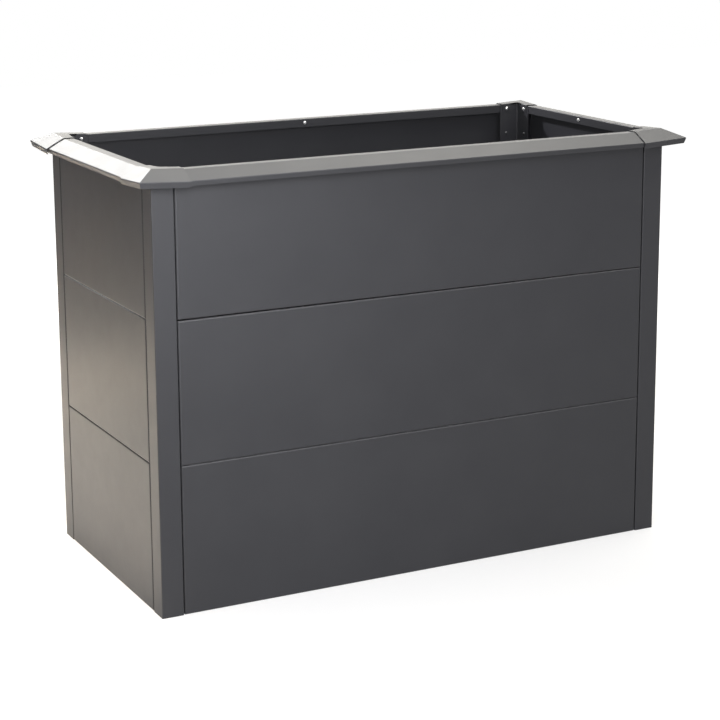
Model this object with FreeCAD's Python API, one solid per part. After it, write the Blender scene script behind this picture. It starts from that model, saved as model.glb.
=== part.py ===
"""Raised garden bed of folded sheet steel: stacked tray panels, corner posts, cap rails and corner caps.

The bed stands on the plane z = 0 with its middle on the z axis. Its length runs along x and its width along y.
All sizes are in millimetres.
"""
import FreeCAD, Part
import math
import os

# Outer faces of the walls, and the sheet that everything but the ties is folded from
BODY_LENGTH = 1200.0
BODY_WIDTH = 590.0
SHEET = 1.0
BEND_RADIUS = 1.0

# Tray panels: one bottom panel and two upper ones on each wall
BOTTOM_PANEL_HEIGHT = 315.0
UPPER_PANEL_HEIGHT = 298.0
PANEL_DEPTH = 25.0
PANEL_LIP = 12.0

# Corner posts, their lips behind the panels, and the angles that close them
POST_FACE = 47.2
POST_LIP = 26.8
POST_GROOVE = 2.2
ANGLE_OVERHANG = 1.0

# Cap rails, which rest on the post lips
RAIL_PANEL_GAP = 0.64
RAIL_FLANGE = 18.6
RAIL_RIDGE_INSET = 3.7
RAIL_OVERHANG = 32.5
RAIL_DROP = 19.0
RAIL_LIP_INWARD = 3.0
RAIL_LIP_DOWN = 9.8
RAIL_FROM_PANEL_END = 9.0
RAIL_FLANGE_GAP = 1.0

# Corner caps, which lie over the rail ends and rise towards the corner
CAP_CLEARANCE = 0.9
CAP_NOSE_EXTRA = 4.5
CAP_LIP_EXTRA = 2.5
CAP_RISE_DEGREES = 3.0
CAP_TAB_WIDTH = 22.0
CAP_TAB_HEIGHT = 20.0
CAP_TAB_MARGIN = 1.5
CAP_INNER_RADIUS = 8.0

# Cross ties, folded from thicker strip
TIE_THICKNESS = 2.0
TIE_BEND_RADIUS = 2.0
TIE_TAB = 26.0
TIE_EDGE_GAP = 0.5

# Pan-head screws
SCREW_DIAMETER = 4.2
SCREW_LENGTH = 13.0
SCREW_TIP = 3.0
SCREW_HEAD_DIAMETER = 8.0
SCREW_HEAD_HEIGHT = 3.1
SCREW_HEAD_RIM = 0.9
SCREW_RECESS_WIDTH = 1.1
SCREW_RECESS_SPAN = 4.4
SCREW_RECESS_DEPTH = 1.6
SCREW_HOLE_PLAY = 0.3
SCREW_FROM_PANEL_END = 8.6
SCREW_FROM_PANEL_EDGE = 66.0

# Heights
panel_heights = {"bottom": BOTTOM_PANEL_HEIGHT, "middle": UPPER_PANEL_HEIGHT, "top": UPPER_PANEL_HEIGHT}
seams = {"lower": BOTTOM_PANEL_HEIGHT, "upper": BOTTOM_PANEL_HEIGHT + UPPER_PANEL_HEIGHT}
panel_bottoms = {"bottom": 0, "middle": seams["lower"], "top": seams["upper"]}
panel_top = seams["upper"] + UPPER_PANEL_HEIGHT

# The rails stand high enough for their slope to clear the rounded top edge of the panels by a gap
bend_outside = BEND_RADIUS + SHEET
rail_pitch = math.atan2(RAIL_DROP, RAIL_OVERHANG + RAIL_RIDGE_INSET)
edge_to_slope = bend_outside + RAIL_PANEL_GAP + SHEET
ridge_shift = (RAIL_RIDGE_INSET - bend_outside) * math.sin(rail_pitch)
rail_top = panel_top - bend_outside + (edge_to_slope + ridge_shift) / math.cos(rail_pitch)
post_top = rail_top - SHEET

# Distances along a wall from its outer corner
panel_start = POST_FACE + POST_GROOVE
lip_end = POST_FACE + POST_LIP
angle_end = lip_end + ANGLE_OVERHANG
screw_line = panel_start + SCREW_FROM_PANEL_END
cap_end = screw_line + CAP_TAB_WIDTH / 2 + CAP_TAB_MARGIN
rail_start = panel_start + RAIL_FROM_PANEL_END
rail_flange_start = angle_end + RAIL_FLANGE_GAP

# Depths inward from a wall's outer face: each layer lies flat on the one before
lip_face = PANEL_DEPTH
angle_face = lip_face + SHEET
tab_face = angle_face + SHEET
cap_inner = tab_face + SHEET
rail_inner = lip_face + SHEET
tie_tab_inner = lip_face + TIE_THICKNESS

lip_screw_drop = PANEL_LIP / 2
rim_screw_height = panel_top - lip_screw_drop
hole_radius = (SCREW_DIAMETER + SCREW_HOLE_PLAY) / 2
cap_overhang = RAIL_OVERHANG + CAP_NOSE_EXTRA
corner_signs = {
    "front_left": (1, 1),
    "front_right": (-1, 1),
    "back_left": (1, -1),
    "back_right": (-1, -1),
}
walls = {"front": BODY_LENGTH, "back": BODY_LENGTH, "left": BODY_WIDTH, "right": BODY_WIDTH}


def vector(x, y, z):
    """A point or direction."""
    return FreeCAD.Vector(x, y, z)


def in_plan(x, y):
    """A point of a profile that is drawn in plan, at ground level."""
    return vector(x, y, 0)


def in_section(depth, height):
    """A point of a profile that is drawn across a wall."""
    return vector(0, depth, height)


def directions(points):
    """Unit directions of an outline's runs."""
    runs = []
    for (x0, y0), (x1, y1) in zip(points, points[1:]):
        length = math.hypot(x1 - x0, y1 - y0)
        runs.append(((x1 - x0) / length, (y1 - y0) / length))
    return runs


def shifted(points, distance):
    """The open outline moved to its right by a distance, run by run, with its corners kept."""
    runs = directions(points)
    first, last = points[0], points[-1]
    moved = [(first[0] + runs[0][1] * distance, first[1] - runs[0][0] * distance)]
    for (x, y), (ax, ay), (bx, by) in zip(points[1:-1], runs, runs[1:]):
        reach = distance / (1 + ax * bx + ay * by)
        moved.append((x + (ay + by) * reach, y - (ax + bx) * reach))
    moved.append((last[0] + runs[-1][1] * distance, last[1] - runs[-1][0] * distance))
    return moved


def rounded_edges(points, left_radius, right_radius, place):
    """Edges along an outline, with an arc at each corner: one radius for left turns, one for right turns."""
    runs = directions(points)
    edges = []
    start = place(*points[0])
    for (x, y), (ax, ay), (bx, by) in zip(points[1:-1], runs, runs[1:]):
        turn = math.atan2(ax * by - ay * bx, ax * bx + ay * by)
        radius = left_radius if turn > 0 else right_radius
        half = abs(turn) / 2
        trim = radius * math.tan(half)
        middle = radius * (1 / math.cos(half) - 1) / (2 * math.sin(half))
        arc_start = place(x - ax * trim, y - ay * trim)
        arc_middle = place(x + (bx - ax) * middle, y + (by - ay) * middle)
        arc_end = place(x + bx * trim, y + by * trim)
        edges.append(Part.LineSegment(start, arc_start).toShape())
        edges.append(Part.Arc(arc_start, arc_middle, arc_end).toShape())
        start = arc_end
    edges.append(Part.LineSegment(start, place(*points[-1])).toShape())
    return edges


def folded_sheet(points, thickness, bend_radius, place):
    """Face of a folded strip that lies on the right of an outline, with each bend rounded."""
    far = shifted(points, thickness)
    outside = bend_radius + thickness
    near_edges = rounded_edges(points, bend_radius, outside, place)
    far_edges = rounded_edges(far, outside, bend_radius, place)
    first_end = Part.LineSegment(place(*points[0]), place(*far[0])).toShape()
    last_end = Part.LineSegment(place(*points[-1]), place(*far[-1])).toShape()
    wire = Part.Wire(Part.__sortEdges__(near_edges + [last_end] + far_edges + [first_end]))
    return Part.Face(wire)


def block(low, high):
    """A box between two corners."""
    size = high - low
    return Part.makeBox(size.x, size.y, size.z, low)


def hole(along, depth, height, thickness):
    """A screw hole's core through a sheet, in wall coordinates."""
    low = vector(along, depth - thickness, height)
    return Part.makeCylinder(hole_radius, thickness * 3, low, vector(0, 1, 0))


def on_wall(shape, wall):
    """Moves a shape from wall coordinates (along, inward, up) to its wall."""
    placed = shape.copy()
    if wall in ("front", "back"):
        placed.translate(vector(0, -BODY_WIDTH / 2, 0))
        across = vector(0, 1, 0)
    else:
        placed.rotate(vector(0, 0, 0), vector(0, 0, 1), -90)
        placed.translate(vector(-BODY_LENGTH / 2, 0, 0))
        across = vector(1, 0, 0)
    if wall in ("back", "right"):
        placed = placed.mirror(vector(0, 0, 0), across)
    return placed


def at_corner(shape, corner):
    """Moves a shape from corner coordinates, measured inward from the outer corner, to its corner."""
    placed = shape.copy()
    placed.translate(vector(-BODY_LENGTH / 2, -BODY_WIDTH / 2, 0))
    along_x, along_y = corner_signs[corner]
    if along_x < 0:
        placed = placed.mirror(vector(0, 0, 0), vector(1, 0, 0))
    if along_y < 0:
        placed = placed.mirror(vector(0, 0, 0), vector(0, 1, 0))
    return placed


def both_ends(wall):
    """Places along a wall of the screw lines at its two ends."""
    offset = walls[wall] / 2 - screw_line
    return (-offset, offset)


def panel_screw_heights(level):
    """Heights of the two screws at each end of the panels on a level."""
    bottom = panel_bottoms[level]
    top = bottom + panel_heights[level]
    return [bottom + SCREW_FROM_PANEL_EDGE, top - SCREW_FROM_PANEL_EDGE]


def post_screw_heights():
    """Heights of all screws through a post's lips, the cap's screw included."""
    heights = [rim_screw_height]
    for level in panel_heights:
        heights += panel_screw_heights(level)
    return heights


def rounded_box(low, high, radius):
    """A box with all its edges rounded."""
    box = block(low, high)
    return box.makeFillet(radius, box.Edges)


def panel(wall, level):
    """A tray: outer sheet, four flanges and the lips folded back behind it, with its screw holes."""
    half = walls[wall] / 2 - panel_start
    bottom = panel_bottoms[level]
    top = bottom + panel_heights[level]
    low, high = vector(-half, 0, bottom), vector(half, PANEL_DEPTH, top)
    wall_gap = vector(SHEET, SHEET, SHEET)
    body = rounded_box(low, high, bend_outside)
    cavity = rounded_box(low + wall_gap, high - wall_gap, BEND_RADIUS)
    lip_half = walls[wall] / 2 - lip_end
    window = block(
        vector(-lip_half, PANEL_DEPTH / 2, bottom + PANEL_LIP),
        vector(lip_half, PANEL_DEPTH + SHEET, top - PANEL_LIP),
    )
    cuts = [cavity, window]
    end_heights = panel_screw_heights(level)
    if level == "top":
        end_heights.append(rim_screw_height)
        cuts.append(hole(0, lip_face - SHEET, rim_screw_height, SHEET))
    for height in end_heights:
        for along in both_ends(wall):
            cuts.append(hole(along, lip_face - SHEET, height, SHEET))
    if wall in ("front", "back"):
        if level != "bottom":
            cuts.append(hole(TIE_TAB / 2, lip_face - SHEET, bottom + lip_screw_drop, SHEET))
        if level != "top":
            cuts.append(hole(TIE_TAB / 2, lip_face - SHEET, top - lip_screw_drop, SHEET))
    return on_wall(body.cut(cuts), wall)


def corner_holes(depth):
    """Screw hole cores through the two legs of a corner piece, at one depth."""
    cores = []
    for height in post_screw_heights():
        core = hole(screw_line, depth, height, SHEET)
        cores += [core, core.mirror(vector(0, 0, 0), vector(1, -1, 0))]
    return cores


def corner_post():
    """Folded post: lip, web, face, face, web, lip."""
    outline = [
        (lip_end, lip_face),
        (POST_FACE, lip_face),
        (POST_FACE, 0),
        (0, 0),
        (0, POST_FACE),
        (lip_face, POST_FACE),
        (lip_face, lip_end),
    ]
    post = folded_sheet(outline, SHEET, BEND_RADIUS, in_plan).extrude(vector(0, 0, post_top))
    return post.cut(corner_holes(lip_face))


def inner_angle():
    """Angle that closes a post from inside."""
    outline = [(angle_end, angle_face), (angle_face, angle_face), (angle_face, angle_end)]
    angle = folded_sheet(outline, SHEET, BEND_RADIUS, in_plan).extrude(vector(0, 0, post_top))
    return angle.cut(corner_holes(angle_face))


def rail_outline():
    """Outer side of a rail's section, from the bottom of its flange to the end of its lip."""
    nose = (-RAIL_OVERHANG, rail_top - RAIL_DROP)
    return [
        (rail_inner, rail_top - RAIL_FLANGE),
        (rail_inner, rail_top),
        (RAIL_RIDGE_INSET, rail_top),
        nose,
        (nose[0] + RAIL_LIP_INWARD, nose[1] - RAIL_LIP_DOWN),
    ]


def cap_rail(wall):
    """Rail whose flange is cut back at the ends, while its top and slope run on under the caps."""
    half = walls[wall] / 2
    section = folded_sheet(rail_outline()[::-1], SHEET, BEND_RADIUS, in_section)
    section.translate(vector(rail_start - half, 0, 0))
    rail = section.extrude(vector(2 * (half - rail_start), 0, 0))
    cuts = [hole(0, lip_face, rim_screw_height, SHEET)]
    for ends in ((-half, rail_flange_start - half), (half - rail_flange_start, half)):
        low = vector(ends[0], rail_inner - bend_outside, rail_top - RAIL_FLANGE - SHEET)
        cuts.append(block(low, vector(ends[1], cap_inner, post_top)))
    return on_wall(rail.cut(cuts), wall)


def cap_outline():
    """Outer side of a cap's section without its tab: parallel to the rail's, with a longer slope and lip."""
    lip_tip, nose, ridge, inner = rail_outline()[:0:-1]
    cap_ridge = shifted([nose, ridge, inner], -(CAP_CLEARANCE + SHEET))[1]
    slope_run = cap_ridge[0] + cap_overhang
    cap_nose = (-cap_overhang, cap_ridge[1] - slope_run * math.tan(rail_pitch))
    drop = cap_nose[1] - lip_tip[1] + CAP_LIP_EXTRA
    cap_lip = (cap_nose[0] + drop * RAIL_LIP_INWARD / RAIL_LIP_DOWN, cap_nose[1] - drop)
    return [cap_lip, cap_nose, cap_ridge, (cap_inner, cap_ridge[1])]


def rising(section, start, stop):
    """Part of a cap's arm: a section carried towards the corner, then tilted up about the arm's end."""
    part = section.copy()
    part.translate(vector(-start, 0, 0))
    part = part.extrude(vector(start - stop, 0, 0))
    part.rotate(vector(cap_end, 0, rail_top), vector(0, 1, 0), CAP_RISE_DEGREES)
    return part


def corner_cap():
    """Mitred cap: two rising arms with a screw tab each, joined on the corner's diagonal."""
    outline = cap_outline()
    edge = outline[-1]
    plain = folded_sheet(outline, SHEET, BEND_RADIUS, in_section)
    tabbed = folded_sheet(outline + [(edge[0], edge[1] - CAP_TAB_HEIGHT)], SHEET, BEND_RADIUS, in_section)
    for section in (plain, tabbed):
        section.translate(vector(cap_end, 0, 0))
    tab_stop = CAP_TAB_MARGIN + CAP_TAB_WIDTH
    arm_reach = cap_end + 2 * cap_overhang
    arm = rising(plain, -CAP_TAB_WIDTH, CAP_TAB_MARGIN)
    arm = arm.fuse([rising(tabbed, CAP_TAB_MARGIN, tab_stop), rising(plain, tab_stop, arm_reach)])
    mitre = [
        vector(-arm_reach, -arm_reach, 0),
        vector(cap_end, -arm_reach, 0),
        vector(cap_end, cap_end, 0),
        vector(-arm_reach, -arm_reach, 0),
    ]
    arm_side = Part.Face(Part.makePolygon(mitre)).extrude(vector(0, 0, rail_top + arm_reach))
    arm = arm.common(arm_side)
    other_arm = arm.mirror(vector(0, 0, 0), vector(1, -1, 0))
    cap = arm.fuse(other_arm).removeSplitter()
    inner_corner = [edge for edge in cap.Edges if is_inner_corner(edge)]
    cap = cap.makeFillet(CAP_INNER_RADIUS, inner_corner)
    head_hole = hole(screw_line, tab_face, rim_screw_height, SHEET)
    return cap.cut([head_hole, head_hole.mirror(vector(0, 0, 0), vector(1, -1, 0))])


def is_inner_corner(edge):
    """Whether an edge is the upright one where a cap's two inner edges meet."""
    near = 0.01
    return all(abs(v.X - cap_inner) < near and abs(v.Y - cap_inner) < near for v in edge.Vertexes)


def cross_tie(seam):
    """Strip on edge across the bed, folded at each end to lie on the panel lips above and below a seam."""
    lip_plane = BODY_WIDTH / 2 - lip_face
    side = -TIE_THICKNESS / 2
    outline = [(TIE_TAB, -lip_plane), (side, -lip_plane), (side, lip_plane), (TIE_TAB, lip_plane)]
    half_height = PANEL_LIP - TIE_EDGE_GAP
    tie = folded_sheet(outline, TIE_THICKNESS, TIE_BEND_RADIUS, in_plan)
    tie.translate(vector(0, 0, seam - half_height))
    tie = tie.extrude(vector(0, 0, 2 * half_height))
    cuts = []
    for height in (seam - lip_screw_drop, seam + lip_screw_drop):
        core = hole(TIE_TAB / 2, lip_face, height, TIE_THICKNESS)
        cuts += [on_wall(core, "front"), on_wall(core, "back")]
    return tie.cut(cuts)


def screw():
    """Pan-head screw with a cross recess: its head's underside at the origin, its shank pointing outward."""
    shank_radius = SCREW_DIAMETER / 2
    head_radius = SCREW_HEAD_DIAMETER / 2
    shoulder = vector(head_radius, SCREW_HEAD_RIM, 0)
    crown = vector(0, SCREW_HEAD_HEIGHT, 0)
    dome_height = SCREW_HEAD_HEIGHT - SCREW_HEAD_RIM
    dome_radius = (head_radius ** 2 + dome_height ** 2) / (2 * dome_height)
    half_angle = math.asin(head_radius / dome_radius) / 2
    sag = dome_radius * (1 - math.cos(half_angle))
    dome = vector(dome_radius * math.sin(half_angle), SCREW_HEAD_HEIGHT - sag, 0)
    corners = [
        crown,
        vector(0, -SCREW_LENGTH, 0),
        vector(shank_radius, SCREW_TIP - SCREW_LENGTH, 0),
        vector(shank_radius, 0, 0),
        vector(head_radius, 0, 0),
        shoulder,
    ]
    edges = Part.makePolygon(corners).Edges + [Part.Arc(shoulder, dome, crown).toShape()]
    solid = Part.Face(Part.Wire(edges)).revolve(vector(0, 0, 0), vector(0, 1, 0), 360)
    floor = SCREW_HEAD_HEIGHT - SCREW_RECESS_DEPTH
    long, short = SCREW_RECESS_SPAN / 2, SCREW_RECESS_WIDTH / 2
    slots = []
    for across, up in ((long, short), (short, long)):
        slots.append(block(vector(-across, floor, -up), vector(across, SCREW_HEAD_HEIGHT + SHEET, up)))
    return solid.cut(slots)


def screw_at(wall, along, depth, height):
    """A screw whose head bears on a wall's inside at a depth."""
    placed = pan_screw.copy()
    placed.translate(vector(along, depth, height))
    return on_wall(placed, wall)


def panel_screws():
    """Screws through angle, post lip and panel lip at both ends of every panel."""
    return [
        screw_at(wall, along, tab_face, height)
        for wall in walls
        for along in both_ends(wall)
        for level in panel_heights
        for height in panel_screw_heights(level)
    ]


def cap_screws():
    """Screws through the corner caps' tabs."""
    return [screw_at(wall, along, cap_inner, rim_screw_height) for wall in walls for along in both_ends(wall)]


def rail_screws():
    """One screw at the middle of each rail's flange."""
    return [screw_at(wall, 0, rail_inner, rim_screw_height) for wall in walls]


def tie_screws():
    """Screws through the ties' folded ends, above and below each seam."""
    return [
        screw_at(wall, TIE_TAB / 2, tie_tab_inner, seam + side * lip_screw_drop)
        for wall in ("front", "back")
        for seam in seams.values()
        for side in (-1, 1)
    ]


pan_screw = screw()
post, angle, cap = corner_post(), inner_angle(), corner_cap()
nodes = {}
for wall in walls:
    for level in panel_heights:
        nodes[f"{wall}_panel_{level}"] = panel(wall, level)
    nodes[f"{wall}_cap_rail"] = cap_rail(wall)
for corner in corner_signs:
    nodes[f"corner_post_{corner}"] = at_corner(post, corner)
    nodes[f"inner_angle_{corner}"] = at_corner(angle, corner)
    nodes[f"corner_cap_{corner}"] = at_corner(cap, corner)
for name, seam in seams.items():
    nodes[f"cross_tie_{name}"] = cross_tie(seam)
nodes["panel_screws"] = Part.makeCompound(panel_screws())
nodes["cap_screws"] = Part.makeCompound(cap_screws())
nodes["rail_screws"] = Part.makeCompound(rail_screws())
nodes["tie_screws"] = Part.makeCompound(tie_screws())

os.makedirs("parts", exist_ok=True)
for name, shape in nodes.items():
    shape.exportStep(f"parts/{name}.step")
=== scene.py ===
"""Raised garden bed of folded, powder-coated sheet steel, built as thin shells and lit for a studio picture.

The bed stands on z = 0 with its middle on the z axis, in metres. Its seen end is at -x and its long front at
-y. Each piece is worked out in wall coordinates (along, inward, up) or in corner coordinates (inward from the
outer corner along both walls, up), then set in place.
"""
import logging
import math
from dataclasses import dataclass, field
from enum import Enum
from typing import Dict, List, NamedTuple, Sequence, Tuple

import bmesh
import bpy
import numpy as np
from mathutils import Matrix, Vector


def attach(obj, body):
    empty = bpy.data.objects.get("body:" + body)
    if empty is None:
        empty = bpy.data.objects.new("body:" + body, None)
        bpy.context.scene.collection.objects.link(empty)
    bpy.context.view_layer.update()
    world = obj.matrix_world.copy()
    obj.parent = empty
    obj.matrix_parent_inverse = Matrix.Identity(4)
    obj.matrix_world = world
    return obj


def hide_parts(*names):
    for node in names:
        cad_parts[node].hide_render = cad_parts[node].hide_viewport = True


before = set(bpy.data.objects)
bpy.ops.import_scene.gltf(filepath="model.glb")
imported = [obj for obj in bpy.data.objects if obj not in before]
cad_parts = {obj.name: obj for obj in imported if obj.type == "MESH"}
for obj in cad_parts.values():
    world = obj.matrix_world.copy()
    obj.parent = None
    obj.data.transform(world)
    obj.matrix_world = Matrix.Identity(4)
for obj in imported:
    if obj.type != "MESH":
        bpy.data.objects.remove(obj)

LOG = logging.getLogger("raised_bed")

Colour = Tuple[float, float, float]
Point = Tuple[float, float, float]
Pair = Tuple[float, float]
Array = np.ndarray
Ends = Sequence[Tuple[int, int]]
Socket = bpy.types.NodeSocket
Material = bpy.types.Material

ALONG, UP = 0, 2  # numbers of the axes along a wall and up
WHITE = (1.0, 1.0, 1.0, 1.0)


class Wall(Enum):
    """The four sides of the bed."""

    FRONT = "front"
    BACK = "back"
    LEFT = "left"
    RIGHT = "right"


class Level(Enum):
    """The three panels of a wall, from the ground up."""

    BOTTOM = "bottom"
    MIDDLE = "middle"
    TOP = "top"


class Corner(Enum):
    """The four corners of the bed, with the sides of the x and y axes that they lie on."""

    FRONT_LEFT = (-1, -1)
    FRONT_RIGHT = (1, -1)
    BACK_LEFT = (-1, 1)
    BACK_RIGHT = (1, 1)

    @property
    def label(self) -> str:
        """The corner's name as the nodes carry it."""
        return self.name.lower()


class Pattern(NamedTuple):
    """A noise pattern: cells per metre, octaves of detail, and the share that each finer octave keeps."""

    scale: float
    detail: float
    rough: float = 0.5


class NodeSheet:
    """Small helper that lays out and joins the nodes of one material or of the world."""

    USUAL_NOISE = (0.3, 0.7)  # range that holds most values of a noise pattern
    COLOUR_INPUTS = (6, 7)  # numbers of a Mix node's colour inputs
    COLOUR_OUTPUT = 2  # number of its colour output

    def __init__(self, tree: bpy.types.NodeTree) -> None:
        """Empties a node tree and starts from it."""
        self.tree = tree
        tree.nodes.clear()

    @classmethod
    def started(cls, name: str) -> Tuple[Material, "NodeSheet", Socket]:
        """Starts a material.

        Args:
            name: the material's name.

        Returns:
            The material, its empty tree and its object coordinates.
        """
        material = bpy.data.materials.new(name)
        material.use_nodes = True
        sheet = cls(material.node_tree)
        return material, sheet, sheet.add("ShaderNodeTexCoord").outputs["Object"]

    def add(self, kind: str, *values: object, **named: object) -> bpy.types.Node:
        """Adds a node.

        Args:
            kind: the node's type name.
            values: its first inputs in order.
            named: its settings in lower case, and further inputs with capitals and underscores for spaces.

        Returns:
            The new node.
        """
        node = self.tree.nodes.new(kind)
        for name, value in named.items():
            if name.islower():
                setattr(node, name, value)
            else:
                self.feed(node.inputs[name.replace("_", " ")], value)
        for socket, value in zip(node.inputs, values):
            self.feed(socket, value)
        return node

    def feed(self, socket: Socket, value: object) -> None:
        """Links an output to a socket, or sets a plain value on it.

        Args:
            socket: the input to feed.
            value: an output socket, a number or a colour.
        """
        if isinstance(value, Socket):
            self.tree.links.new(value, socket)
        else:
            socket.default_value = value

    def math(self, operation: str, *values: object) -> Socket:
        """Result of a Math node on some values in order."""
        return self.add("ShaderNodeMath", *values, operation=operation).outputs[0]

    def noise(self, where: Socket, pattern: Pattern) -> Socket:
        """Adds a noise pattern with values from 0 to 1, most of them in the usual range about 0.5."""
        sizes = {"Scale": pattern.scale, "Detail": pattern.detail, "Roughness": pattern.rough}
        return self.add("ShaderNodeTexNoise", Vector=where, **sizes).outputs[0]

    def spread(self, value: Socket, low: float, high: float) -> Socket:
        """Maps the usual range of a noise pattern to the range from low to high, and no further."""
        return self.ramp(value, self.USUAL_NOISE, (low, high)).outputs[0]

    def ramp(self, value: Socket, source: Pair, target: Pair) -> bpy.types.Node:
        """Maps one range to another and stops at its ends."""
        ends = {"From_Min": source[0], "From_Max": source[1], "To_Min": target[0], "To_Max": target[1]}
        return self.add("ShaderNodeMapRange", Value=value, **ends)

    def blend(self, share: Socket, first: object, second: object) -> Socket:
        """Mixes two colours.

        Args:
            share: how much of the second colour.
            first: the colour at 0, or an output that gives it.
            second: the colour at 1, or an output that gives it.

        Returns:
            The mixed colour.
        """
        node = self.add("ShaderNodeMix", share, data_type="RGBA", clamp_factor=False)
        for number, value in zip(self.COLOUR_INPUTS, (first, second)):
            self.feed(node.inputs[number], value if isinstance(value, Socket) else (*value, 1.0))
        return node.outputs[self.COLOUR_OUTPUT]

    def shown(self) -> Socket:
        """Tells apart the rays that show the background.

        Returns:
            1 on camera, glossy and transmission rays, 0 on the others.
        """
        path = self.add("ShaderNodeLightPath").outputs
        seen = self.math("MAXIMUM", path["Is Camera Ray"], path["Is Glossy Ray"])
        return self.math("MAXIMUM", seen, path["Is Transmission Ray"])


@dataclass(frozen=True)
class Finish:
    """A coated or plated surface: a film of uneven tone and gloss, raised by a fine peel and grain."""

    MOTTLE = Pattern(90.0, 3.0)  # breaks up the paler folds, about 11 mm wide
    MOTTLE_RANGE = (0.4, 0.8)  # least and most of the fold's tone
    GRAIN = Pattern(1500.0, 2.0)  # under 1 mm wide

    name: str
    deep: Colour  # darker tone
    pale: Colour  # paler tone
    fold_film_and_highlight_tone: Colour  # paler tone on folds and cut edges: a thinner film, and a painted highlight along them
    gloss: float  # roughness where the film is glossiest
    matt: float  # roughness where it is most matt
    fold_gloss: float  # how much the roughness falls on folds
    level: float  # specular level
    height: float  # height of the peel, in metres
    metallic: float = 0.0
    clouds: Pattern = Pattern(6.5, 4.0, 0.55)  # vary the tone, about 150 mm wide
    sheen: Pattern = Pattern(24.0, 5.0, 0.6)  # varies the gloss, about 40 mm wide
    peel: Pattern = Pattern(330.0, 1.0)  # raises the surface, about 3 mm wide
    grain: float = 0.35  # height of the grain against the peel
    bump: float = 0.5  # strength of both

    def material(self) -> Material:
        """Builds the material.

        Returns:
            A material on object coordinates. The pieces' own fold attribute makes the film paler and glossier
            where the sheet is bent or cut: partly a thinner film, partly a painted highlight along bends and
                edges.
        """
        material, sheet, where = NodeSheet.started(self.name)
        fold = sheet.add("ShaderNodeAttribute", attribute_name="fold").outputs["Fac"]
        mottle = sheet.spread(sheet.noise(where, self.MOTTLE), *self.MOTTLE_RANGE)
        tone = sheet.blend(sheet.spread(sheet.noise(where, self.clouds), 0.0, 1.0), self.deep, self.pale)
        gloss = sheet.spread(sheet.noise(where, self.sheen), self.gloss, self.matt)
        peel, grain = sheet.noise(where, self.peel), sheet.noise(where, self.GRAIN)
        height = sheet.math("MULTIPLY_ADD", grain, self.grain, peel)
        bump = sheet.add("ShaderNodeBump", Strength=self.bump, Distance=self.height, Height=height)
        film = sheet.add(
            "ShaderNodeBsdfPrincipled",
            # bends and cut edges get a paler base colour: a thinner film, and a painted highlight
            Base_Color=sheet.blend(sheet.math("MULTIPLY", fold, mottle), tone, self.fold_film_and_highlight_tone),
            Metallic=self.metallic,
            Roughness=sheet.math("MULTIPLY_ADD", fold, -self.fold_gloss, gloss),
            Specular_IOR_Level=self.level,
            Normal=bump.outputs[0],
        )
        sheet.add("ShaderNodeOutputMaterial", Surface=film.outputs[0])
        return material


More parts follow.
